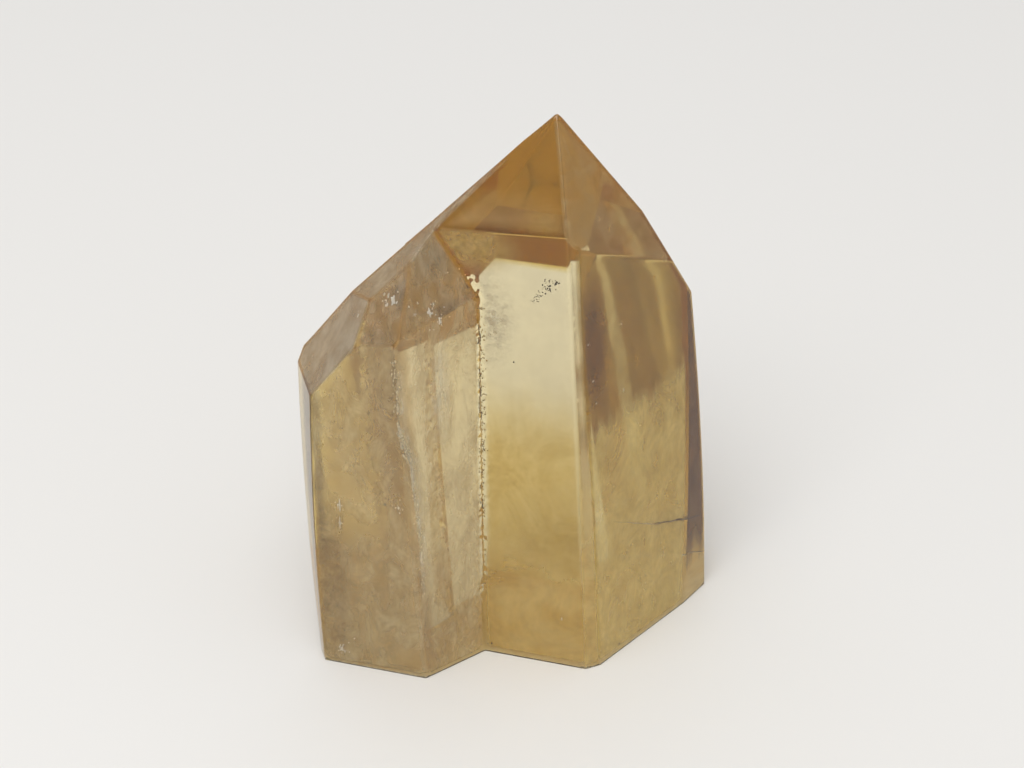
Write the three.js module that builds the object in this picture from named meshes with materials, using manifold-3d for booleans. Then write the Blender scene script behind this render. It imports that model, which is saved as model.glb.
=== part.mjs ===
// A citrine crystal point: one stone in which two quartz crystals grew side by side.
// The main crystal stands on the right and carries the tall tip; a shorter one is joined to its left.
// The stone is cut off flat so that it stands, and its faces are ground flat and polished.
// Millimetres. +Z is up, the front of the stone looks along -Y, and +X is to its right.
import * as THREE from "three";
import { ConvexGeometry } from "three/addons/geometries/ConvexGeometry.js";
import { mergeVertices } from "three/addons/utils/BufferGeometryUtils.js";
import Module from "manifold-3d";

// Driving dimensions.
const HEIGHT = 58; // from the cut base to the tip; the whole stone is scaled to it
const LEAN_DEG = 2.45; // the crystals lean to the left of the line square to the base
const SAME_POINT = 0.08; // corners closer than this are one corner
const INSIDE = 1e-4; // slack when a corner is tested against a face
const CITRINE = { color: 0xb99a5e, roughness: 0.08, metalness: 0 };

// Every face is a plane: "turn" is the way it looks, in degrees from the front (-Y) towards the
// right (+X); "rise" is how far it looks upwards; "out" is its distance from the foot of the axis.
// The prism faces of each crystal stand near 60 degrees apart, as quartz grows.
const MAIN_CRYSTAL = [
  { name: "front left prism", turn: -15, rise: 1.1, out: 9.8 },
  { name: "narrow front facet", turn: 22.3, rise: 1.1, out: 11.32 },
  { name: "front right prism", turn: 46.9, rise: 1.1, out: 10.38 },
  { name: "narrow right facet", turn: 52.7, rise: 0.8, out: 11.11 },
  { name: "right prism", turn: 106, rise: 1.7, out: 14.69 },
  { name: "back prism", turn: 162, rise: 4, out: 11.85 },
  { name: "back left prism", turn: -134, rise: 0, out: 12.9 },
  { name: "buried left prism", turn: -75, rise: 0, out: 12.5 },
  { name: "front left roof", turn: -17, rise: 36.2, out: 36.1 },
  { name: "front right roof", turn: 62, rise: 23.1, out: 26.1 },
  { name: "left roof", turn: -86.7, rise: 49.9, out: 43.1 },
  { name: "back left roof", turn: -136.5, rise: 33.15, out: 28.35 },
  { name: "right roof, upper", turn: 122, rise: 30.75, out: 29.97 },
  { name: "right roof, lower", turn: 108.2, rise: 24.2, out: 26.8 },
  { name: "back roof", turn: 162, rise: 31, out: 27.81 },
];
const SIDE_CRYSTAL = [
  { name: "front prism", turn: -15.1, rise: -1.1, out: 14.97 },
  { name: "front right prism", turn: 34.8, rise: -0.65, out: 3.19 },
  { name: "left prism", turn: -74.8, rise: 1.8, out: 23.53 },
  { name: "back left prism", turn: -131, rise: -1.95, out: 11.42 },
  { name: "buried back prism", turn: 168, rise: 0, out: 6.5 },
  { name: "buried right prism", turn: 106, rise: 0, out: 0 },
  { name: "left roof", turn: -73.7, rise: 30.5, out: 36.6 },
  { name: "front roof", turn: -20.2, rise: 34.6, out: 36.6 },
  { name: "front right roof", turn: 31.3, rise: 23.6, out: 20.72 },
  { name: "shared left roof", turn: -86.7, rise: 49.9, out: 43.1 },
  { name: "shared back left roof", turn: -136.5, rise: 33.15, out: 28.35 },
];

const wasm = await Module();
wasm.setup();

// The plane of one face, with its normal pointing out of the stone.
function facePlane({ turn, rise, out }) {
  const around = THREE.MathUtils.degToRad(turn);
  const up = THREE.MathUtils.degToRad(rise);
  const flat = Math.cos(up);
  const normal = new THREE.Vector3(Math.sin(around) * flat, -Math.cos(around) * flat, Math.sin(up));
  normal.applyAxisAngle(new THREE.Vector3(0, 1, 0), THREE.MathUtils.degToRad(-LEAN_DEG));
  return new THREE.Plane(normal, -out);
}

// The point where three planes meet, or null where two of them are parallel.
function meetingPoint(a, b, c) {
  const bc = new THREE.Vector3().crossVectors(b.normal, c.normal);
  const volume = a.normal.dot(bc);
  if (Math.abs(volume) < INSIDE) return null;
  const ca = new THREE.Vector3().crossVectors(c.normal, a.normal);
  const ab = new THREE.Vector3().crossVectors(a.normal, b.normal);
  const sum = bc.multiplyScalar(-a.constant);
  sum.addScaledVector(ca, -b.constant).addScaledVector(ab, -c.constant);
  return sum.divideScalar(volume);
}

// Every corner of the convex body that lies behind all the planes.
function corners(planes) {
  const found = [];
  for (let i = 0; i < planes.length; i++)
    for (let j = i + 1; j < planes.length; j++)
      for (let k = j + 1; k < planes.length; k++) {
        const point = meetingPoint(planes[i], planes[j], planes[k]);
        if (!point) continue;
        if (planes.some((plane) => plane.distanceToPoint(point) > INSIDE)) continue;
        if (found.some((other) => other.distanceTo(point) < SAME_POINT)) continue;
        found.push(point);
      }
  return found;
}

// A three.js geometry as a solid that can be joined.
function solidOf(geometry) {
  geometry.deleteAttribute("normal");
  geometry.deleteAttribute("uv");
  const merged = mergeVertices(geometry, SAME_POINT / 2);
  return new wasm.Manifold(
    new wasm.Mesh({
      numProp: 3,
      vertProperties: new Float32Array(merged.attributes.position.array),
      triVerts: new Uint32Array(merged.index.array),
    }),
  );
}

// One whole crystal, closed below by the cut base at Z = 0.
function crystal(faces) {
  const base = new THREE.Plane(new THREE.Vector3(0, 0, -1), 0);
  return solidOf(new ConvexGeometry(corners([...faces.map(facePlane), base])));
}

// A joined solid as a three.js geometry, HEIGHT tall, with the middle of its box above the origin.
function finishedGeometry(solid) {
  const mesh = solid.getMesh();
  const geometry = new THREE.BufferGeometry();
  geometry.setAttribute("position", new THREE.BufferAttribute(mesh.vertProperties, mesh.numProp));
  geometry.setIndex(new THREE.BufferAttribute(mesh.triVerts, 1));
  geometry.computeBoundingBox();
  const middle = geometry.boundingBox.getCenter(new THREE.Vector3());
  const scale = HEIGHT / geometry.boundingBox.max.z;
  geometry.translate(-middle.x, -middle.y, 0);
  geometry.scale(scale, scale, scale);
  geometry.computeVertexNormals();
  return geometry;
}

const stone = new THREE.Mesh(
  finishedGeometry(crystal(MAIN_CRYSTAL).add(crystal(SIDE_CRYSTAL))),
  new THREE.MeshStandardMaterial({ ...CITRINE, flatShading: true }),
);
stone.name = "citrine_point";

const part = new THREE.Group();
part.name = "citrine_crystal_point";
part.add(stone);

export default part;
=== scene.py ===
import math
import random

import bmesh
import bpy
import numpy as np
from mathutils import Matrix, Vector, noise
from mathutils.bvhtree import BVHTree
from mathutils.geometry import delaunay_2d_cdt


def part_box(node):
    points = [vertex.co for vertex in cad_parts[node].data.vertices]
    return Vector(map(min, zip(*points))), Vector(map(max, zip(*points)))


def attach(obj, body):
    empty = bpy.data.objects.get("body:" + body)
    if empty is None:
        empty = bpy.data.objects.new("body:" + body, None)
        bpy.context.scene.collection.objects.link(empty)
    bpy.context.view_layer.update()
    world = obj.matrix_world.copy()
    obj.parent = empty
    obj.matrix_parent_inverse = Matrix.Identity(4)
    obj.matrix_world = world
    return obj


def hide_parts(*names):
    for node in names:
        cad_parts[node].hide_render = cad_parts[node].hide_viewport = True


# A polished citrine point: a clear amber stone with veils, flecks, grains and a crack sealed in it.

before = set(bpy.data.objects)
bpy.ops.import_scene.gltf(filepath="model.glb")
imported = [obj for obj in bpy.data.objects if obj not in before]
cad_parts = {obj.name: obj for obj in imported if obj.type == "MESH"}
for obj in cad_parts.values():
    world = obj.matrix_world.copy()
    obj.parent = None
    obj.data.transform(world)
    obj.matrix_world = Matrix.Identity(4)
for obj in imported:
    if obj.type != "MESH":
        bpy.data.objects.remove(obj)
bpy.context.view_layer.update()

MM = 0.001
NODE = "citrine_point"
LOW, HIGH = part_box(NODE)
HEIGHT = HIGH.z - LOW.z
FOOT = Vector(((LOW.x + HIGH.x) / 2, (LOW.y + HIGH.y) / 2, LOW.z))
TIP = max((v.co.copy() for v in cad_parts[NODE].data.vertices), key=lambda p: p.z)
BESIDE_TIP = Vector((-4.08 * MM, 3.39 * MM, 0))  # from the tip to the line that places are given from

# The solid, read as flat faces.
SAME_CORNER = 0.35 * MM  # corners of the solid closer than this become one
FLAT_ANGLE = math.radians(0.8)  # faces turned less than this against each other are one face
SHEET_ANGLE = math.radians(3)  # the same where a sealed sheet follows the faces
EDGE_ANGLE = math.radians(3)  # an edge that turns less than this is neither rounded nor a seam
SLIVER = 0.3 * MM  # a face narrower than this belongs to the one beside its longest edge
LOOKS_DOWN = -0.99  # the upward part of a normal is below this only on the cut base

# The stone's fine mesh.
EDGE_ROUND = 0.1 * MM  # how far the ground edges are rounded into each face
EDGE_STEPS = 2
BROAD = 0.3 * MM  # a face narrower than this isn't filled with finer points
GRID = 0.6 * MM  # distance between the points of the fine mesh
BASE_GRID = 0.4 * MM  # the same on the cut base, which is left rough
SEAM_GRID = 0.2 * MM  # the same beside the seam between the two crystals
SEAM_REACH = 2 * MM  # how far from the seam the finer points go
RIM = 0.1 * MM  # ring of points just inside each face's outline, so that the face stays flat
ROW_SHARE = 0.87  # rows of a staggered grid, as a share of the distance between its points
SAME_POINT = 1e-4  # points closer than this, in millimetres, are one when triangles are made

# The stone's relief.
SWELL = 0.018  # how much the prism swells between base and shoulder, as a share of its width
SHOULDER = 0.62 * HEIGHT
WAVE = 0.012 * MM  # height of the faint waves that polishing leaves, and their length
WAVE_LENGTH = 5 * MM
SEAM_ROUGH = 0.13 * MM  # depth of the pits beside the seam, their length, and the width of their strip
PIT_LENGTH = 0.55 * MM
SEAM_WIDTH = 1.3 * MM
BASE_ROUGH = 0.03 * MM  # depth of the scratches in the cut base, and their length
SCRATCH_LENGTH = 0.5 * MM

# Sealed sheets. Numbers without MM are in millimetres.
SHEET_ROOM = 0.3  # room that a sheet keeps from the surface
SHALLOW_ROOM = 0.4  # the same for a shallow sheet, as a share of its depth
SHEET_GRID = 0.6  # distance between a sheet's points
SMALL_SHEET_GRID = 0.3  # the same under a small face
SMALL_FACE = 80 * MM * MM
BORDER_ROWS = (0, 0.12, 0.24, 0.36)  # rows of points that follow a sheet's rim, measured from the rim
BORDER = 0.5  # where the grid of points starts, measured in the same way
LONG_SIDE = 2.5  # a triangle with a longer side than this many spacings isn't made
RIPPLE_LENGTH = 3.5 * MM
SHEET_THICK = 0.02 * MM

# Cracks that run in from the surface.
LEDGE_STEPS = 60  # points along the crack, and into it
LEDGE_ROWS = 12
LEDGE_FADE = 6  # it fades out over one part in this many of its length at either end
LEDGE_SCALLOP = 1.5 * MM  # length of the scallops at its inner end
LEDGE_WAVE = 0.15  # height in millimetres of the waves in it, and their length
LEDGE_WAVE_LENGTH = 1.2 * MM
LEDGE_RISE = 0.02  # how much it rises for each millimetre inwards

# Grains.
FLECK_DEPTH = 0.16 * MM  # how far under the surface the flecks and specks lie
FLECK_THICK = 0.06  # half the thickness of a white fleck, in millimetres
LUMP_JAG = 0.35  # how uneven a grain is, as a share of its size

# Citrine: what it takes out of red, green and blue light, per metre.
ABSORBS = (2, 8, 32)
QUARTZ_IOR = 1.545
POLISH = (0.05, 0.09)  # its finest and its coarsest roughness

WHITE = (1, 0.94, 0.76)
CREAM = (0.8, 0.72, 0.55)
TAN = (0.62, 0.5, 0.32)
MUSTARD = (0.5, 0.36, 0.13)
BROWN = (0.2, 0.11, 0.04)
BLACK = (0.03, 0.02, 0.015)
CLEAR = (1, 1, 1)


# ---------------------------------------------------------------- outlines and faces

def at(x, y, z):
    """A point in millimetres: x to the right and y to the back of a line near the tip, z above the base."""
    line = TIP + BESIDE_TIP
    return Vector((line.x + x * MM, line.y + y * MM, LOW.z + z * MM))


def distance_to_lines(points, lines):
    """The distance from each point to the nearest of the lines."""
    nearest = np.full(len(points), np.inf)
    for a, b in lines:
        a = np.array(a)
        along = np.array(b) - a
        share = np.clip((points - a) @ along / (along @ along), 0, 1)
        nearest = np.minimum(nearest, np.linalg.norm(points - a - share[:, None] * along, axis=1))
    return nearest


def sides(outline):
    """The sides of an outline as pairs of points."""
    return list(zip(outline, np.roll(outline, -1, axis=0)))


def inside_outline(points, outline):
    """Which of the points are inside an outline: they cross an odd number of its sides to the right."""
    inside = np.zeros(len(points), bool)
    x, y = points.T
    for a, b in sides(outline):
        if a[1] != b[1]:
            beside = (a[1] > y) != (b[1] > y)
            inside ^= beside & (x < a[0] + (y - a[1]) * (b[0] - a[0]) / (b[1] - a[1]))
    return inside


def face_points(outline, spacing, keep_off):
    """A staggered grid of points inside an outline, no nearer to it than keep_off."""
    low, high = outline.min(axis=0), outline.max(axis=0)
    rows = np.arange(low[1] + spacing / 2, high[1], spacing * ROW_SHARE)
    cols = np.arange(low[0] - spacing, high[0] + spacing, spacing)
    x, y = np.meshgrid(cols, rows)
    x = x + (np.arange(len(rows)) % 2)[:, None] * spacing / 2
    points = np.column_stack([x.ravel(), y.ravel()])
    room = distance_to_lines(points, sides(outline))
    return points[inside_outline(points, outline) & (room > keep_off)]


def rim_points(outline):
    """Points just inside an outline, which runs anticlockwise: one beside each of its points."""
    before = outline - np.roll(outline, 1, axis=0)
    after = np.roll(outline, -1, axis=0) - outline
    inward = []
    for side in (before, after):
        square = np.column_stack([-side[:, 1], side[:, 0]])
        inward.append(square / np.linalg.norm(side, axis=1)[:, None])
    middle = inward[0] + inward[1]
    sharpest = 0.5  # keeps the point beside a sharp corner from going too far in
    middle /= np.maximum((middle * inward[0]).sum(axis=1), sharpest)[:, None]
    return outline + middle * RIM / MM


def border_points(outline, spacing, inset):
    """Points in a row inside an outline, which runs anticlockwise, at the given distance from it."""
    made = []
    for a, b in sides(outline):
        along = b - a
        long = np.linalg.norm(along)
        inward = np.array([-along[1], along[0]]) / long
        shares = np.linspace(0, 1, max(2, math.ceil(long / spacing)))
        made.append(a + shares[:, None] * along + inward * inset)
    made = np.vstack(made)
    room = distance_to_lines(made, sides(outline))
    rounding = 0.98  # so that no point is lost because its room is rounded down
    return made[inside_outline(made, outline) & (room > inset * rounding)]


class FacePlane:
    """The plane of a face. A place in it is given in millimetres, first level and then square to that."""

    def __init__(self, face):
        self.origin = face.verts[0].co.copy()
        self.normal = face.normal.copy()
        level = Vector((0, 0, 1)).cross(self.normal)
        self.across = level.normalized() if level.length > 0.1 else Vector((1, 0, 0))
        self.up = self.normal.cross(self.across)
        away = [v.co - self.origin for v in face.verts]
        self.outline = np.array([(a.dot(self.across), a.dot(self.up)) for a in away]) / MM

    def place(self, x, y):
        """The point of the stone at a place in the plane."""
        return self.origin + (self.across * x + self.up * y) * MM

    def places(self, points):
        """The same for an array of places."""
        return np.array(self.origin) + points @ np.array([self.across, self.up]) * MM


# ---------------------------------------------------------------- the stone's mesh

def flat_faced_solid(limit=FLAT_ANGLE):
    """The CAD solid as a bmesh with one polygon for each flat face."""
    bm = bmesh.new()
    bm.from_mesh(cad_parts[NODE].data)
    bmesh.ops.remove_doubles(bm, verts=bm.verts, dist=SAME_CORNER)
    bmesh.ops.dissolve_degenerate(bm, edges=bm.edges, dist=SAME_CORNER / 10)
    bmesh.ops.dissolve_limit(bm, angle_limit=limit, verts=bm.verts, edges=bm.edges)
    for face in list(bm.faces):
        longest = max(face.edges, key=lambda e: e.calc_length()) if face.is_valid else None
        if longest and face.calc_area() < SLIVER * longest.calc_length():
            bmesh.ops.dissolve_edges(bm, edges=[longest])
    return bm


def seam_lines(bm):
    """The inward edges, where the two crystals meet, as pairs of points."""
    inward = [e for e in bm.edges if e.calc_face_angle_signed(0) < -EDGE_ANGLE]
    return [(e.verts[0].co.copy(), e.verts[1].co.copy()) for e in inward]


def round_edges(bm):
    """Rounds the outward edges a little, as polishing leaves them. Seams and the cut base stay sharp."""
    outward = [e for e in bm.edges if e.calc_face_angle_signed(0) > EDGE_ANGLE
               and max(v.co.z for v in e.verts) > LOW.z + SAME_CORNER]
    bmesh.ops.bevel(bm, geom=outward, offset=EDGE_ROUND, offset_type="OFFSET", segments=EDGE_STEPS,
                    profile=0.5, affect="EDGES", clamp_overlap=True)
    bmesh.ops.remove_doubles(bm, verts=bm.verts, dist=EDGE_ROUND / 20)


def split_long_edges(bm, seams):
    """Puts points along every edge, closer together beside the seams."""
    for edge in list(bm.edges):
        ends = np.array([v.co for v in edge.verts])
        near = distance_to_lines(np.vstack([ends, ends.mean(axis=0)]), seams).min()
        longest = SEAM_GRID if near < SEAM_REACH / 2 else GRID
        start = edge.verts[0]
        for left in range(math.ceil(edge.calc_length() / longest), 1, -1):
            start = bmesh.utils.edge_split(edge, start, 1 / left)[1]


def inner_points(plane, seams):
    """Points inside a face: close together beside the seams, and further apart elsewhere."""
    fine = face_points(plane.outline, SEAM_GRID / MM, RIM / MM * 2)
    fine = fine[distance_to_lines(plane.places(fine), seams) < SEAM_REACH]
    spacing = BASE_GRID if plane.normal.z < LOOKS_DOWN else GRID
    coarse = face_points(plane.outline, spacing / MM, RIM / MM * 2.5)
    coarse = coarse[distance_to_lines(plane.places(coarse), seams) >= SEAM_REACH]
    return fine, coarse


def fill_faces(bm, seams):
    """Turns faces into triangles, small ones on the broad faces. Outlines stay as they are."""
    for face in [f for f in bm.faces if len(f.verts) > 4]:
        plane = FacePlane(face)
        corners = list(face.verts)
        points = plane.outline
        if face.calc_area() > BROAD * max(BROAD, face.calc_perimeter()):
            points = np.vstack([points, rim_points(points), *inner_points(plane, seams)])
        points = [Vector(p) for p in points]
        made = delaunay_2d_cdt(points, [], [list(range(len(corners)))], 1, SAME_POINT)
        verts = []
        for co, sources in zip(made[0], made[3]):
            known = [s for s in sources if s < len(corners)]
            verts.append(corners[known[0]] if known else bm.verts.new(plane.place(co.x, co.y)))
        bmesh.ops.delete(bm, geom=[face], context="FACES_ONLY")
        for triangle in made[2]:
            bm.faces.new([verts[i] for i in triangle])


def swollen(point):
    """Where a point of the flat-sided solid goes when the prism swells."""
    share = min(max((point.z - LOW.z) / SHOULDER, 0), 1)
    swell = 1 + SWELL * 4 * share * (1 - share)
    return Vector((FOOT.x + (point.x - FOOT.x) * swell, FOOT.y + (point.y - FOOT.y) * swell, point.z))


def worn_place(vert, gap):
    """Where a point of the surface is once it has its relief. gap is its distance from the seams."""
    if all(f.normal.z < LOOKS_DOWN for f in vert.link_faces):
        return vert.co + Vector((0, 0, BASE_ROUGH * abs(noise.noise(vert.co / SCRATCH_LENGTH))))
    high = WAVE * noise.noise(vert.co / WAVE_LENGTH)
    if gap < SEAM_WIDTH:
        # Pits go in, the ridges between them stay low, and both die out away from the seam.
        pits = noise.fractal(vert.co / PIT_LENGTH, 0.9, 2.1, 4)
        high -= SEAM_ROUGH * (1 - gap / SEAM_WIDTH) ** 1.2 * max(pits + 0.25, -0.5)
    if vert.co.z < LOW.z + EDGE_ROUND * 2:
        high = 0
    return vert.co + vert.normal * high


def add_relief(bm, seams):
    """Faint polishing waves all over, pits along the seam, a rough cut base and the prism's swell."""
    bm.normal_update()
    verts = list(bm.verts)
    gaps = distance_to_lines(np.array([v.co for v in verts]), seams)
    places = [swollen(worn_place(vert, gap)) for vert, gap in zip(verts, gaps)]
    for vert, place in zip(verts, places):
        vert.co = place


def finished_mesh(bm, name):
    mesh = bpy.data.meshes.new(name)
    bm.to_mesh(mesh)
    bm.free()
    mesh.polygons.foreach_set("use_smooth", [True] * len(mesh.polygons))
    return mesh


def store_in_order(elements, place):
    """Stores points or faces in the order of their places, so that every run gives the same mesh."""
    in_order = sorted(elements, key=lambda element: tuple(place(element)))
    ranks = {element: rank for rank, element in enumerate(in_order)}
    elements.sort(key=ranks.get)


def stone_mesh():
    bm = flat_faced_solid()
    seams = seam_lines(bm)
    round_edges(bm)
    split_long_edges(bm, seams)
    fill_faces(bm, seams)
    bmesh.ops.triangulate(bm, faces=bm.faces)
    bmesh.ops.recalc_face_normals(bm, faces=bm.faces)
    add_relief(bm, seams)
    store_in_order(bm.verts, lambda v: v.co)
    store_in_order(bm.faces, lambda f: f.calc_center_median())
    return finished_mesh(bm, "citrine_stone")


# ---------------------------------------------------------------- meshes of sheets and cracks

def depth_inside(surface, place):
    """How far a place is inside the surface, negative when it is outside."""
    co, normal, _, gap = surface.find_nearest(place)
    return gap if (co - place).dot(normal) > 0 else -gap


def sheet_triangles(points, triangles, outline, longest):
    """The triangles whose middle is inside the outline and whose sides are all shorter than longest."""
    middles = np.array([sum((points[i] for i in triangle), Vector((0, 0))) / 3 for triangle in triangles])
    kept = []
    for triangle, holds in zip(triangles, inside_outline(middles, outline)):
        a, b, c = (points[i] for i in triangle)
        if holds and max((a - b).length, (b - c).length, (c - a).length) < longest:
            kept.append(triangle)
    return kept


def closed_sheet(name, places, fades, triangles, deeper):
    """A sheet through the given places, with a second layer behind it and a rim all round."""
    bm = bmesh.new()
    fade = bm.verts.layers.float.new("fade")
    layers = []
    for offset in (0, SHEET_THICK):
        verts = [bm.verts.new(place + deeper * offset) for place in places]
        for vert, share in zip(verts, fades):
            vert[fade] = share
        layers.append(verts)
    for triangle in triangles:
        bm.faces.new([layers[0][i] for i in triangle])
        bm.faces.new([layers[1][i] for i in reversed(triangle)])
    opposite = dict(zip(*layers))
    for edge in [e for e in bm.edges if len(e.link_faces) == 1 and e.verts[0] in opposite]:
        a, b = edge.verts
        bm.faces.new([a, b, opposite[b], opposite[a]])
    bmesh.ops.delete(bm, geom=[v for v in bm.verts if not v.link_faces], context="VERTS")
    bmesh.ops.recalc_face_normals(bm, faces=bm.faces)
    return finished_mesh(bm, name)


def sheet_mesh(name, near, depth, inset, ripple, soft):
    """A thin wavy sheet that lies inside the stone parallel to one of its faces.

    The face is the one whose middle is nearest to the point near. The other sizes are in millimetres:
    how deep the sheet lies, how far its rim stays inside the face's outline, the height of its waves,
    and how far in from its rim the attribute fade goes from 0 to 1.
    """
    solid = flat_faced_solid(SHEET_ANGLE)
    face = min(solid.faces, key=lambda f: (f.calc_center_median_weighted() - near).length)
    plane = FacePlane(face)
    spacing = SMALL_SHEET_GRID if face.calc_area() < SMALL_FACE else SHEET_GRID
    surface = BVHTree.FromBMesh(solid)
    solid.free()
    rows = [border_points(plane.outline, spacing, inset + step) for step in BORDER_ROWS]
    points = np.vstack([*rows, face_points(plane.outline, spacing, inset + BORDER)])
    gaps = distance_to_lines(points, sides(plane.outline)) - inset
    kept, places, fades = [], [], []
    for point, gap in zip(points, gaps):
        flat = plane.place(*point)
        wave = noise.noise(flat / RIPPLE_LENGTH) * ripple * MM
        place = flat - plane.normal * (depth * MM + wave)
        room = depth_inside(surface, place) / MM
        if room > min(SHEET_ROOM, depth * SHALLOW_ROOM):
            kept.append(Vector(point))
            places.append(swollen(place))
            fades.append(min(gap / soft, room / min(depth, soft), 1))
    made = delaunay_2d_cdt(kept, [], [], 0, SAME_POINT)
    triangles = sheet_triangles(made[0], made[2], plane.outline, spacing * LONG_SIDE)
    order = [sources[0] for sources in made[3]]
    places = [places[i] for i in order]
    fades = [fades[i] for i in order]
    return closed_sheet(name, places, fades, triangles, -plane.normal)


def ledge_mesh(name, stops, inward, deep, first):
    """A crack that runs into the stone from a line on its surface, with a scalloped inner end.

    deep is how far in it goes and first how far in it starts, in millimetres.
    """
    places, fades = [], []
    for i in range(LEDGE_STEPS + 1):
        along = i / LEDGE_STEPS * (len(stops) - 1)
        part = min(int(along), len(stops) - 2)
        start = swollen(stops[part].lerp(stops[part + 1], along - part))
        scallop = 1 + 0.5 * noise.noise(start / LEDGE_SCALLOP)
        ends = min(1, LEDGE_FADE * i / LEDGE_STEPS, LEDGE_FADE * (1 - i / LEDGE_STEPS))
        for j in range(LEDGE_ROWS + 1):
            into = first + (deep - first) * j / LEDGE_ROWS * scallop
            place = start + inward * into * MM
            place.z += (LEDGE_WAVE * noise.noise(place / LEDGE_WAVE_LENGTH) + LEDGE_RISE * into) * MM
            places.append(place)
            fades.append(ends * (1 - j / LEDGE_ROWS))
    triangles = []
    for i in range(LEDGE_STEPS):
        for j in range(LEDGE_ROWS):
            a = i * (LEDGE_ROWS + 1) + j
            b = a + LEDGE_ROWS + 1
            triangles += [(a, b, a + 1), (b, b + 1, a + 1)]
    return closed_sheet(name, places, fades, triangles, Vector((0, 0, -1)))


# ---------------------------------------------------------------- meshes of grains

# White flecks: the place of each in millimetres, its size, and how many times as tall it is.
FLECKS = (
    (-9.9, -9.9, 42.8, 0.36, 1.6), (-7.4, -9.9, 41.6, 0.32, 2.0), (-6.6, -9.8, 40.9, 0.28, 1.8),
    (-9.0, -10.0, 41.5, 0.1, 1.5), (-13.0, -9.9, 41.0, 0.12, 2.0), (-15.3, -10.2, 20.5, 0.2, 5.0),
    (-15.35, -10.1, 18.3, 0.16, 7.0), (-9.9, -11.8, 21.4, 0.18, 1.2), (-15.8, -9.6, 1.9, 0.3, 1.1),
    (6.3, -8.9, 37.5, 0.08, 1.0), (6.8, -8.8, 33.3, 0.1, 1.0), (7.2, -8.7, 30.7, 0.08, 1.0),
    (9.4, -5.8, 37.4, 0.08, 1.2), (9.6, -6.0, 30.2, 0.07, 5.0), (5.1, -9.6, 5.8, 0.07, 5.0),
    (-5.9, -7.6, 44.2, 0.07, 1.0), (-4.6, -7.2, 44.2, 0.05, 1.5), (-3.9, -7.3, 43.9, 0.05, 2.5),
)
FLECK_CRUMBS = 22  # round each fleck

# The cluster of dark specks runs between two places. Those that lie alone have a place and a size.
CLUSTER_LOW, CLUSTER_HIGH = at(1.9, -9.7, 42.2), at(3.7, -10.1, 44.8)
CLUSTER_SPECKS = 60
LONE_SPECKS = (
    (0.4, -8.4, 35.0, 0.07), (-11.3, -11.5, 21.2, 0.16), (-1.7, -8.1, 0.8, 0.1), (10.2, -8.0, 0.6, 0.1),
    (6.0, -9.0, 36.0, 0.05), (6.9, -8.9, 31.9, 0.05), (-6.9, -9.9, 37.2, 0.07), (-6.6, -10.0, 12.1, 0.06),
    (7.6, -8.5, 35.2, 0.05), (7.3, -8.4, 34.2, 0.06), (8.1, -8.0, 34.8, 0.04), (7.0, -8.7, 39.1, 0.05),
)

# Down the front edge of the side crystal, from its roof to its foot, and the crumbs in each stretch.
FRONT_EDGE = (at(-10.2, -13.0, 38.8), at(-9.9, -12.82, 30.2), at(-8.95, -12.62, 26.6),
              at(-8.3, -12.24, 17.2), at(-8.1, -12.2, 9.9))
EDGE_CRUMBS = (60, 170, 90, 15)

# Along the seam: ochre crumbs, dark dots, and splits with the height, length and width of each.
SEAM_CRUMBS = 300
SEAM_DOTS = 26
SPLITS = (
    (37.8, 1.0, 0.08), (36.9, 0.4, 0.12), (31.5, 1.2, 0.05), (29.3, 0.9, 0.07),
    (24.6, 0.3, 0.09), (20.4, 0.3, 0.05), (18.3, 0.5, 0.06), (33.4, 0.4, 0.04),
)


def add_lump(bm, place, radii, along):
    """An irregular grain. radii are in millimetres, the last one along the given direction."""
    turn = along.to_track_quat("Z", "Y").to_matrix().to_4x4()
    shape = Matrix.Translation(place) @ turn @ Matrix.Diagonal((*[r * MM for r in radii], 1))
    for vert in bmesh.ops.create_icosphere(bm, subdivisions=2, radius=1)["verts"]:
        seed = vert.co * 1.7 + place / MM
        vert.co = shape @ (vert.co * (1 + LUMP_JAG * noise.noise(seed)))


def lumps_mesh(name, lumps):
    """One mesh of many grains: each is (place, radii, along)."""
    bm = bmesh.new()
    for place, radii, along in lumps:
        add_lump(bm, place, radii, along)
    return finished_mesh(bm, name)


def under_surface(surface, place):
    """The place moved to just under the nearest face, and that face's normal."""
    co, normal, _, _ = surface.find_nearest(place)
    return co - normal * FLECK_DEPTH, normal


def held_inside(surface, place, room):
    """The place, moved further in where it is nearer to the surface than room, in millimetres.

    A move away from one face may end near another, so it is repeated.
    """
    for _ in range(4):
        if depth_inside(surface, place) < room * MM:
            co, normal, _, _ = surface.find_nearest(place)
            place = co - normal * room * 1.1 * MM
    return place


def white_flecks(surface):
    """Bright gas-filled flecks close under the front faces, each with crumbs round it."""
    draw = random.Random(3)
    lumps = []
    for x, y, z, size, tall in FLECKS:
        middle, normal = under_surface(surface, at(x, y, z))
        lumps.append((middle, (size * 0.3, size * tall * 0.8, FLECK_THICK), normal))
        for _ in range(FLECK_CRUMBS):
            spread = size * draw.choice((0.5, 0.8, 1.8))
            near = middle + Vector([draw.gauss(0, spread) for _ in range(3)]) * MM
            small = size * draw.uniform(0.07, 0.24)
            near, normal = under_surface(surface, near)
            lumps.append((near, (small, small * draw.uniform(0.8, 2.5), FLECK_THICK / 2), normal))
    return lumps_mesh("white_flecks", lumps)


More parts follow.
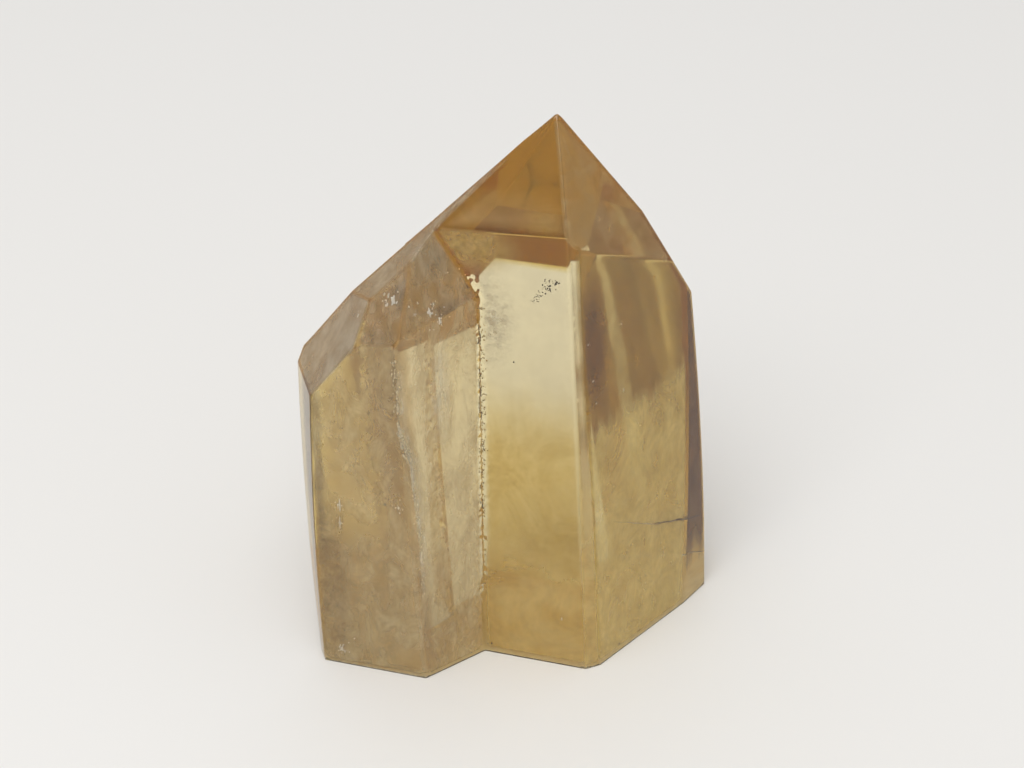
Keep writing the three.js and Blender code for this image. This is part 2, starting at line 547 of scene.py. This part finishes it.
def edge_trail(surface):
    """Pale crumbs in the veil that follows the front edge of the side crystal."""
    draw = random.Random(11)
    lumps = []
    for a, b, count in zip(FRONT_EDGE, FRONT_EDGE[1:], EDGE_CRUMBS):
        for _ in range(count):
            place = a.lerp(b, draw.random()) + Vector([draw.gauss(0, 0.14) for _ in range(3)]) * MM
            size = draw.uniform(0.025, 0.08)
            radii = (size, size * 0.7, size * draw.uniform(1, 3))
            lumps.append((held_inside(surface, place, 0.12), radii, b - a))
    return lumps_mesh("edge_trail", lumps)


def dark_specks(surface):
    """Grains of dark mineral close under the front faces: a cluster that widens upwards, and lone ones."""
    draw = random.Random(5)
    lumps = []
    for _ in range(CLUSTER_SPECKS):
        share = draw.random()
        apart = 0.12 + 0.3 * share
        offset = Vector((draw.gauss(0, apart), 0, draw.gauss(0, apart))) * MM
        size = draw.uniform(0.03, 0.05 + 0.06 * share)
        place, normal = under_surface(surface, CLUSTER_LOW.lerp(CLUSTER_HIGH, share) + offset)
        lumps.append((place, (size, size * draw.uniform(0.8, 1.4), size * 0.6), normal))
    for x, y, z, size in LONE_SPECKS:
        lumps.append((at(x, y, z), (size, size * 0.7, size * 1.4), Vector((0, 0, 1))))
    return lumps_mesh("dark_specks", lumps)


def front_seam():
    """The long seam between the crystals on the front, as its foot and its top."""
    solid = flat_faced_solid()
    lines = [sorted(line, key=lambda p: p.z) for line in seam_lines(solid)]
    solid.free()
    return max((line for line in lines if line[0].y < FOOT.y), key=lambda line: line[1].z - line[0].z)


def seam_crust(surface):
    """Ochre crumbs caught in the seam, most of them in its upper half."""
    draw = random.Random(7)
    foot, top = front_seam()
    lumps = []
    for _ in range(SEAM_CRUMBS):
        share = min(max(draw.gauss(0.66, 0.2), 0.03), 0.97)
        size = draw.uniform(0.02, 0.08)
        offset = Vector((draw.gauss(0.12, 0.2), 0.05 + 0.1 * draw.random(), 0)) * MM
        place = held_inside(surface, swollen(foot.lerp(top, share)) + offset, size + 0.02)
        lumps.append((place, (size, size, size * draw.uniform(0.8, 1.8)), top - foot))
    return lumps_mesh("seam_crust", lumps)


def seam_cracks(surface):
    """Near-black splits and dots along the seam. A split is five slanting grains in a row."""
    draw = random.Random(9)
    foot, top = front_seam()
    lumps = []
    for height, long, wide in SPLITS:
        for part in range(5):
            share = (height + long * (part - 2) * 0.4) * MM / top.z
            place = swollen(foot.lerp(top, share)) + Vector((draw.gauss(0, 0.05), -0.03, 0)) * MM
            slant = top - foot + Vector((draw.gauss(0, 0.15), 0, 0)) * (top - foot).length
            radii = (wide * draw.uniform(0.5, 1), 0.05, long * 0.3)
            lumps.append((held_inside(surface, place, 0.11), radii, slant))
    for _ in range(SEAM_DOTS):
        share = min(max(draw.gauss(0.7, 0.1), 0.3), 0.95)
        size = draw.uniform(0.015, 0.04)
        offset = Vector((draw.gauss(-0.15, 0.3), -0.02, 0)) * MM
        offset.y -= abs(offset.x) * 0.25
        place = held_inside(surface, swollen(foot.lerp(top, share)) + offset, size + 0.03)
        lumps.append((place, (size, size, size * 1.4), top - foot))
    return lumps_mesh("seam_cracks", lumps)


# ---------------------------------------------------------------- materials

def node_material(name):
    """A material with one principled shader: (material, nodes, links, shader)."""
    material = bpy.data.materials.new(name)
    material.use_nodes = True
    nodes, links = material.node_tree.nodes, material.node_tree.links
    nodes.clear()
    out = nodes.new("ShaderNodeOutputMaterial")
    shader = nodes.new("ShaderNodeBsdfPrincipled")
    links.new(shader.outputs["BSDF"], out.inputs["Surface"])
    return material, nodes, links, shader


def noise_node(nodes, links, size, stretch=(1, 1, 1), detail=3, rough=0.55, distort=0.0):
    """Noise fixed to the stone, with blots of about the given size in metres."""
    where = nodes.new("ShaderNodeTexCoord")
    scale = nodes.new("ShaderNodeMapping")
    scale.vector_type = "POINT"
    scale.inputs["Scale"].default_value = [1 / (size * s) for s in stretch]
    links.new(where.outputs["Object"], scale.inputs["Vector"])
    made = nodes.new("ShaderNodeTexNoise")
    made.inputs["Scale"].default_value = 1
    made.inputs["Detail"].default_value = detail
    made.inputs["Roughness"].default_value = rough
    made.inputs["Distortion"].default_value = distort
    links.new(scale.outputs["Vector"], made.inputs["Vector"])
    return made.outputs["Fac"]


def mapped(nodes, links, value, low, high, to_low, to_high):
    """The value turned smoothly from the range low to high into the range to_low to to_high."""
    made = nodes.new("ShaderNodeMapRange")
    made.interpolation_type = "SMOOTHSTEP"
    links.new(value, made.inputs["Value"])
    for name, number in (("From Min", low), ("From Max", high), ("To Min", to_low), ("To Max", to_high)):
        made.inputs[name].default_value = number
    return made.outputs["Result"]


def product(nodes, links, a, b):
    made = nodes.new("ShaderNodeMath")
    made.operation = "MULTIPLY"
    links.new(a, made.inputs[0])
    links.new(b, made.inputs[1])
    return made.outputs["Value"]


def color_between(nodes, links, socket, value, first, second):
    """Gives a socket the first colour where the value is 0 and the second where it is 1."""
    if first == second:
        socket.default_value = (*first, 1)
        return
    made = nodes.new("ShaderNodeMix")
    made.data_type = "RGBA"
    links.new(value, made.inputs["Factor"])
    made.inputs["A"].default_value = (*first, 1)
    made.inputs["B"].default_value = (*second, 1)
    links.new(made.outputs["Result"], socket)


def citrine_material():
    """Clear quartz coloured in its depth, with a polish that is a little finer and coarser in places."""
    material, nodes, links, shader = node_material("citrine")
    shader.inputs["Base Color"].default_value = (1, 1, 1, 1)
    shader.inputs["Transmission Weight"].default_value = 1
    shader.inputs["IOR"].default_value = QUARTZ_IOR
    blots = noise_node(nodes, links, 4 * MM)
    links.new(mapped(nodes, links, blots, 0.3, 0.7, *POLISH), shader.inputs["Roughness"])
    volume = nodes.new("ShaderNodeVolumeAbsorption")
    density = max(ABSORBS) * 1.1
    volume.inputs["Density"].default_value = density
    volume.inputs["Color"].default_value = (*[1 - a / density for a in ABSORBS], 1)
    links.new(volume.outputs["Volume"], nodes["Material Output"].inputs["Volume"])
    return material


def cloud_material(name, colors, cover, size, stretch=(1, 1, 1), tint=CLEAR, level=None, feather=6,
                   around=None):
    """A cloudy sheet that also tints what is seen through it.

    colors are those of its dense and thin clouds, and cover is how much it hides between its clouds
    and in them. size is that of its clouds in millimetres. level is the height in millimetres where it
    has faded out, and where it is full, and feather is how far its border there is drawn out in
    feathers. around, a middle and its reach, keeps the clouds near one place.
    """
    material, nodes, links, shader = node_material(name)
    cloud = noise_node(nodes, links, size * MM, stretch, detail=8, rough=0.7, distort=0.5)
    fade = nodes.new("ShaderNodeAttribute")
    fade.attribute_name = "fade"
    present = fade.outputs["Fac"]
    if level:
        present = product(nodes, links, present, level_fade(nodes, links, *level, feather))
    if around:
        present = product(nodes, links, present, place_fade(nodes, links, *around))
    hidden = product(nodes, links, mapped(nodes, links, cloud, 0.35, 0.7, *cover), present)
    mottle = noise_node(nodes, links, size * 0.6 * MM, stretch)
    dense = mapped(nodes, links, mottle, 0.35, 0.65, 0, 1)
    color_between(nodes, links, shader.inputs["Base Color"], dense, colors[1], colors[0])
    shader.inputs["Roughness"].default_value = 0.9
    shader.inputs["Specular IOR Level"].default_value = 0
    clear = nodes.new("ShaderNodeBsdfTransparent")
    deep = product(nodes, links, mapped(nodes, links, cloud, 0.25, 0.75, 0.6, 1), present)
    color_between(nodes, links, clear.inputs["Color"], deep, CLEAR, tint)
    mix = nodes.new("ShaderNodeMixShader")
    links.new(hidden, mix.inputs["Fac"])
    links.new(clear.outputs["BSDF"], mix.inputs[1])
    links.new(shader.outputs["BSDF"], mix.inputs[2])
    links.new(mix.outputs["Shader"], nodes["Material Output"].inputs["Surface"])
    return material


def level_fade(nodes, links, empty, full, feather):
    """0 at one height and 1 at the other, in millimetres, with a border drawn out in feathers."""
    where = nodes.new("ShaderNodeTexCoord")
    split = nodes.new("ShaderNodeSeparateXYZ")
    links.new(where.outputs["Object"], split.inputs["Vector"])
    streaks = noise_node(nodes, links, 1 * MM, (1, 1, 7))
    shifted = nodes.new("ShaderNodeMath")
    shifted.operation = "MULTIPLY_ADD"
    links.new(streaks, shifted.inputs[0])
    shifted.inputs[1].default_value = feather * MM
    links.new(split.outputs["Z"], shifted.inputs[2])
    low, high = sorted(((empty + feather / 2) * MM, (full + feather / 2) * MM))
    below, above = (0, 1) if empty < full else (1, 0)
    return mapped(nodes, links, shifted.outputs["Value"], low, high, below, above)


def place_fade(nodes, links, middle, reach):
    """1 at the middle and 0 beyond the reach, which is in millimetres for each axis."""
    where = nodes.new("ShaderNodeTexCoord")
    scale = nodes.new("ShaderNodeMapping")
    scale.vector_type = "TEXTURE"
    scale.inputs["Location"].default_value = middle
    scale.inputs["Scale"].default_value = [r * MM for r in reach]
    links.new(where.outputs["Object"], scale.inputs["Vector"])
    length = nodes.new("ShaderNodeVectorMath")
    length.operation = "LENGTH"
    links.new(scale.outputs["Vector"], length.inputs[0])
    return mapped(nodes, links, length.outputs["Value"], 0.2, 1, 1, 0)


def grain_material(name, pale, dark, size, rough):
    """Opaque mineral grains, mottled between two colours."""
    material, nodes, links, shader = node_material(name)
    spots = noise_node(nodes, links, size * MM)
    share = mapped(nodes, links, spots, 0.35, 0.65, 0, 1)
    color_between(nodes, links, shader.inputs["Base Color"], share, dark, pale)
    links.new(mapped(nodes, links, spots, 0.3, 0.7, rough, rough * 0.7), shader.inputs["Roughness"])
    return material


def floor_material():
    material, _, _, shader = node_material("floor")
    shader.inputs["Base Color"].default_value = (0.8, 0.79, 0.775, 1)
    shader.inputs["Roughness"].default_value = 0.6
    return material


# ---------------------------------------------------------------- stage

def make_object(name, mesh, material):
    obj = bpy.data.objects.new(name, mesh)
    bpy.context.scene.collection.objects.link(obj)
    mesh.materials.append(material)
    return obj


def make_floor():
    mesh = bpy.data.meshes.new("floor")
    size = 40 * HEIGHT
    z = LOW.z - 0.03 * MM
    corners = [(-size, -size, z), (size, -size, z), (size, size, z), (-size, size, z)]
    mesh.from_pydata(corners, [], [(0, 1, 2, 3)])
    floor = make_object("floor", mesh, floor_material())


def make_camera():
    """Looks down at the front of the stone."""
    camera = bpy.data.objects.new("camera", bpy.data.cameras.new("camera"))
    bpy.context.scene.collection.objects.link(camera)
    camera.data.lens = 113.4
    camera.data.sensor_width = 36
    down = math.radians(38.03)
    aim = FOOT + Vector((0.0029, -0.0072, 0.4453)) * HEIGHT
    away = Vector((0, -math.cos(down), math.sin(down)))
    distance = 5.172 * HEIGHT
    camera.location = aim + away * distance
    camera.rotation_euler = away.to_track_quat("Z", "Y").to_euler()
    camera.data.clip_start = 1 * MM
    camera.data.clip_end = 100
    bpy.context.scene.camera = camera


def make_sky():
    """Soft and bright all round, and a little darker overhead."""
    world = bpy.data.worlds.new("world")
    bpy.context.scene.world = world
    world.use_nodes = True
    nodes, links = world.node_tree.nodes, world.node_tree.links
    where = nodes.new("ShaderNodeTexCoord")
    split = nodes.new("ShaderNodeSeparateXYZ")
    links.new(where.outputs["Generated"], split.inputs["Vector"])
    ramp = nodes.new("ShaderNodeValToRGB")
    horizon, overhead = ramp.color_ramp.elements
    horizon.position = 0.0
    horizon.color = (0.68, 0.677, 0.67, 1)
    overhead.position = 0.9
    overhead.color = (0.65, 0.65, 0.647, 1)
    links.new(split.outputs["Z"], ramp.inputs["Fac"])
    background = nodes["Background"]
    links.new(ramp.outputs["Color"], background.inputs["Color"])
    background.inputs["Strength"].default_value = 1.0


def make_window():
    """A square window high up in front of the stone and a little to its left."""
    light = bpy.data.lights.new("window", "AREA")
    light.shape = "SQUARE"
    light.size = 0.4
    light.energy = 1.95
    light.color = (1, 0.99, 0.97)
    window = bpy.data.objects.new("window", light)
    away = Vector((-0.09, -0.26, 0.5))
    window.location = FOOT + Vector((0, 0, HEIGHT / 2)) + away
    window.rotation_euler = away.to_track_quat("Z", "Y").to_euler()
    bpy.context.scene.collection.objects.link(window)


# ---------------------------------------------------------------- the pieces

def add_piece(name, mesh, material):
    piece = make_object(name, mesh, material)
    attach(piece, "root")
    return piece


def add_stone():
    stone = add_piece("citrine_stone", stone_mesh(), citrine_material())
    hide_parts(NODE)
    return stone


def add_sheet(name, near, depth, inset, ripple, soft, material):
    """Adds a sheet of a material. The numbers are those that sheet_mesh takes."""
    add_piece(name, sheet_mesh(name, near, depth, inset, ripple, soft), material)


def add_side_crystal_sheets():
    """Milk and a yellow to brown stain in the front of the side crystal."""
    front = at(-13.2, -11.6, 18.4)
    front_right = at(-5.8, -10.6, 21.5)
    add_sheet("veil_side_front", front, 0.5, 0.03, 0.1, 0.3, cloud_material(
        "milk_side", ((0.9, 0.76, 0.46), (0.74, 0.58, 0.3)), (0.25, 0.55), 3.5, (0.7, 1, 1.4)))
    add_sheet("stain_side_front", front, 1.2, 0.1, 0.2, 0.5, cloud_material(
        "stain_side", ((1, 0.74, 0.26), (0.86, 0.6, 0.18)), (0.35, 0.8), 3.5, level=(20, 12), feather=4))
    add_sheet("stain_side_left", front, 0.3, 0.03, 0.03, 0.2, cloud_material(
        "stain_left", ((0.6, 0.42, 0.18), (0.42, 0.27, 0.1)), (0.1, 0.6), 2.2,
        around=(at(-17.8, -10.5, 10), (3.4, 3, 20))))
    add_sheet("veil_side_front_deep", front, 3.0, 0.3, 0.35, 1, cloud_material(
        "milk_deep", (TAN, MUSTARD), (0.08, 0.4), 5, (1, 1, 1.5), tint=(0.9, 0.82, 0.7)))
    add_sheet("veil_side_right", front_right, 0.6, 0.02, 0.12, 0.25, cloud_material(
        "milk_right", ((0.94, 0.83, 0.56), (0.74, 0.6, 0.36)), (0.15, 0.5), 2.6, (0.8, 0.8, 2),
        tint=(0.97, 0.92, 0.8)))


def add_side_roof_sheets():
    """Milk close under the roof faces of the side crystal and the left one of the main crystal."""
    right_roof = at(-6.6, -9.3, 44.0)
    front_roof = at(-10.9, -11.2, 42.3)
    left_roof = at(-15.8, -8.8, 37.4)
    main_left_roof = at(-6.6, -6.5, 48.4)
    add_sheet("veil_side_roof", right_roof, 0.28, 0.02, 0.02, 0.3, cloud_material(
        "milk_roof", ((0.7, 0.56, 0.36), (0.52, 0.38, 0.2)), (0.25, 0.6), 2, (0.7, 1, 1.6)))
    add_sheet("veil_side_front_roof", front_roof, 0.28, 0.02, 0.02, 0.3, cloud_material(
        "milk_front_roof", ((0.72, 0.6, 0.42), (0.54, 0.42, 0.25)), (0.25, 0.55), 2, (0.7, 1, 1.6)))
    add_sheet("veil_side_left_roof", left_roof, 0.28, 0.02, 0.02, 0.3, cloud_material(
        "milk_left_roof", ((0.78, 0.68, 0.5), (0.6, 0.48, 0.3)), (0.35, 0.6), 3, (1, 1, 1.5)))
    add_sheet("veil_left_roof", main_left_roof, 0.28, 0.02, 0.02, 0.3, cloud_material(
        "milk_left", ((0.74, 0.62, 0.42), (0.56, 0.44, 0.26)), (0.3, 0.65), 3))
    add_sheet("veil_growth", right_roof, 0.8, 0.1, 0.05, 0.5, cloud_material(
        "milk_growth", ((0.92, 0.82, 0.6), (0.7, 0.56, 0.35)), (0.4, 0.9), 1.2,
        around=(at(-6.0, -8.0, 46.5), (4, 4, 3.5))))


def add_main_roof_sheets():
    """Thin honey-coloured haze under the two broad roof faces of the main crystal."""
    front_roof = at(0.8, -6.8, 52)
    right_roof = at(8.1, -4.7, 49.1)
    add_sheet("veil_front_roof", front_roof, 1.4, 0.3, 0.3, 1, cloud_material(
        "milk_main_roof", ((0.82, 0.58, 0.26), (0.66, 0.46, 0.18)), (0.3, 0.55), 6, level=(52, 47),
        feather=1))
    add_sheet("veil_right_roof", right_roof, 0.5, 0.03, 0.1, 0.3, cloud_material(
        "milk_right_roof", ((0.74, 0.56, 0.27), (0.6, 0.43, 0.17)), (0.1, 0.45), 4))


def add_main_front_sheets():
    """The bright front face: milk in its top left corner and at its foot, a tint of painted shade on its
    top band and upper part, and a deeper amber tint on its lower part.
    """
    front = at(1.6, -9.4, 24.4)
    add_sheet("veil_main_corner", front, 0.5, 0.03, 0.05, 0.3, cloud_material(
        "milk_corner", ((0.86, 0.64, 0.22), (0.68, 0.48, 0.12)), (0.4, 0.75), 1.5,
        around=(at(-4, -7.8, 47), (6, 3, 3.4))))
    # Painted shade: a sharp-edged tint that darkens and yellows a band at the top of the front face, for
    # the shaded floor under the stone seen through it.
    add_sheet("painted_shade_main_band", front, 0.9, 0.2, 0, 0.3, cloud_material(
        "painted_shade_band", (BROWN, BROWN), (0, 0.03), 5, tint=(0.93, 0.82, 0.4), level=(45.3, 46.3), feather=0))
    # A tint that turns the lower part of the front face a deeper amber, with a feathered border above it.
    add_sheet("tint_main_front_low", front, 1.2, 0.2, 0.2, 0.4, cloud_material(
        "tint_main_low", (TAN, MUSTARD), (0.03, 0.2), 5, (1, 1, 1.2), tint=(0.9, 0.79, 0.46), level=(34, 22),
        feather=1.5))
    # Painted shade: a grey tint that darkens the upper part of the front face, for the stone's shadow on
    # the floor behind it seen through the face.
    add_sheet("painted_shade_main_upper", front, 1.5, 0.2, 0.2, 0.4, cloud_material(
        "painted_shade_upper", (TAN, TAN), (0.0, 0.03), 6, tint=(0.93, 0.93, 0.95), level=(22, 34), feather=0))
    add_sheet("veil_main_foot", front, 0.9, 0.1, 0.15, 0.2, cloud_material(
        "milk_foot", ((1, 0.8, 0.32), (0.9, 0.66, 0.2)), (0.35, 0.6), 7, level=(18, 7), feather=2))


def add_main_right_sheets():
    """Smoke in the upper part and honey-coloured haze in the lower part of the faces on the right."""
    narrow = at(6.8, -10.4, 22.7)
    front_right = at(11.8, -5.6, 22.4)
    right_strip = at(17.4, 0, 13.8)
    add_sheet("veil_narrow", narrow, 0.5, 0.05, 0.05, 0.15, cloud_material(
        "milk_narrow", ((0.96, 0.76, 0.32), (0.84, 0.62, 0.22)), (0.3, 0.6), 5, level=(27, 14), feather=2))
    add_sheet("smoke_main_right", front_right, 1.2, 0.2, 0.15, 0.4, cloud_material(
        "smoke", ((0.6, 0.38, 0.05), (0.46, 0.27, 0.02)), (0.3, 0.6), 5, (0.8, 0.8, 1.5), level=(25, 29)))
    add_sheet("smoke_front_edge", front_right, 0.4, 0.1, 0.05, 0.3, cloud_material(
        "smoke_edge", (BROWN, BROWN), (0.03, 0.25), 3, (1, 1, 2), tint=(0.82, 0.73, 0.55),
        around=(at(7.6, -8.8, 37), (2.6, 2.6, 10))))
    add_sheet("veil_main_right", front_right, 0.7, 0.1, 0.1, 0.3, cloud_material(
        "haze_right", ((0.98, 0.8, 0.3), (0.84, 0.65, 0.2)), (0.3, 0.65), 4, (0.8, 0.8, 1.4),
        level=(29, 26)))
    add_sheet("smoke_right_strip", right_strip, 0.3, 0.05, 0, 0.15, cloud_material(
        "smoke_strip", ((0.27, 0.12, 0.02), (0.19, 0.07, 0.005)), (0.8, 0.97), 4, (1, 1, 2), level=(4, 9)))


def add_other_sheets():
    """Smoke in the left face, milk beside the seam on both sides of it, and the ground base."""
    side_left = at(-18.2, -8.7, 19.3)
    side_front_right = at(-5.8, -10.6, 21.5)
    main_front = at(1.6, -9.4, 24.4)
    base = at(1.6, -0.2, 0)
    add_sheet("smoke_side_left", side_left, 1.4, 0.4, 0.3, 1.2, cloud_material(
        "smoke_side", (BROWN, BROWN), (0.0, 0.15), 5, (1, 1, 2), tint=(0.45, 0.4, 0.32)))
    add_sheet("veil_seam", main_front, 0.5, 0.15, 0.1, 0.5, cloud_material(
        "milk_seam", (CREAM, TAN), (0.1, 0.75), 0.8, around=(at(-3.0, -8.4, 39.5), (4.2, 2, 7))))
    add_sheet("veil_side_streak", side_front_right, 0.35, 0.1, 0.05, 0.8, cloud_material(
        "milk_streak", (WHITE, WHITE), (0.05, 0.6), 1.0, (0.6, 0.6, 3),
        around=(at(-6.6, -10.0, 33), (1.4, 1.4, 8))))
    add_sheet("ground_base", base, 0.06, 0.05, 0, 0.02, cloud_material(
        "ground", ((0.96, 0.84, 0.54), (0.9, 0.76, 0.44)), (0.9, 1), 3))


def add_edge_veil():
    """A pale flaw that runs in from the front edge of the side crystal."""
    inward = Vector((0.79, 0.62, 0))
    add_piece("veil_edge", ledge_mesh("veil_edge", FRONT_EDGE, inward, 1.1, 0.05), cloud_material(
        "milk_edge", (WHITE, (0.9, 0.78, 0.5)), (0.1, 0.8), 0.9, (0.7, 0.7, 2)))


def add_right_crack():
    """A crack across the front right face, with a dark lip along most of its length."""
    inward = Vector((-0.71, 0.7, 0))
    line = [at(9.4, -8.3, 16.1), at(13.2, -4.74, 12.6), at(16.3, -1.56, 10.5), at(18.1, 0.6, 9.2)]
    add_piece("crack_right", ledge_mesh("crack_right", line, inward, 3.2, 0.15), cloud_material(
        "crack_pale", (CREAM, TAN), (0.25, 0.7), 1.5))
    add_piece("crack_right_lip", ledge_mesh("crack_right_lip", line[1:], inward, 0.9, 0.1), cloud_material(
        "crack_dark", (BROWN, BROWN), (0.7, 1), 1))


def add_grains(stone):
    """Everything that is sealed in the stone as small grains, held inside its finished surface."""
    solid = bmesh.new()
    solid.from_mesh(stone.data)
    surface = BVHTree.FromBMesh(solid)
    solid.free()
    white = grain_material("gas_white", (0.98, 0.96, 0.9), (0.9, 0.86, 0.76), 0.3, 0.5)
    cream = grain_material("crumb_cream", (0.96, 0.9, 0.72), (0.82, 0.7, 0.46), 0.4, 0.8)
    ochre = grain_material("crumb_ochre", (0.62, 0.5, 0.27), (0.36, 0.24, 0.09), 0.4, 0.9)
    black = grain_material("split_black", (0.06, 0.035, 0.02), BLACK, 0.4, 0.8)
    add_piece("white_flecks", white_flecks(surface), white)
    add_piece("edge_trail", edge_trail(surface), cream)
    add_piece("dark_specks", dark_specks(surface), black)
    add_piece("seam_crust", seam_crust(surface), ochre)
    add_piece("seam_cracks", seam_cracks(surface), black)


def make_settings():
    """Plain colours, and enough bounces for light that passes many surfaces in the stone."""
    scene = bpy.context.scene
    scene.view_settings.view_transform = "Standard"
    scene.cycles.max_bounces = 24
    scene.cycles.transmission_bounces = 24
    scene.cycles.glossy_bounces = 16
    scene.cycles.transparent_max_bounces = 48


make_camera()
make_floor()
make_sky()
make_window()
stone = add_stone()
add_side_crystal_sheets()
add_side_roof_sheets()
add_main_roof_sheets()
add_main_front_sheets()
add_main_right_sheets()
add_other_sheets()
add_edge_veil()
add_right_crack()
add_grains(stone)
make_settings()
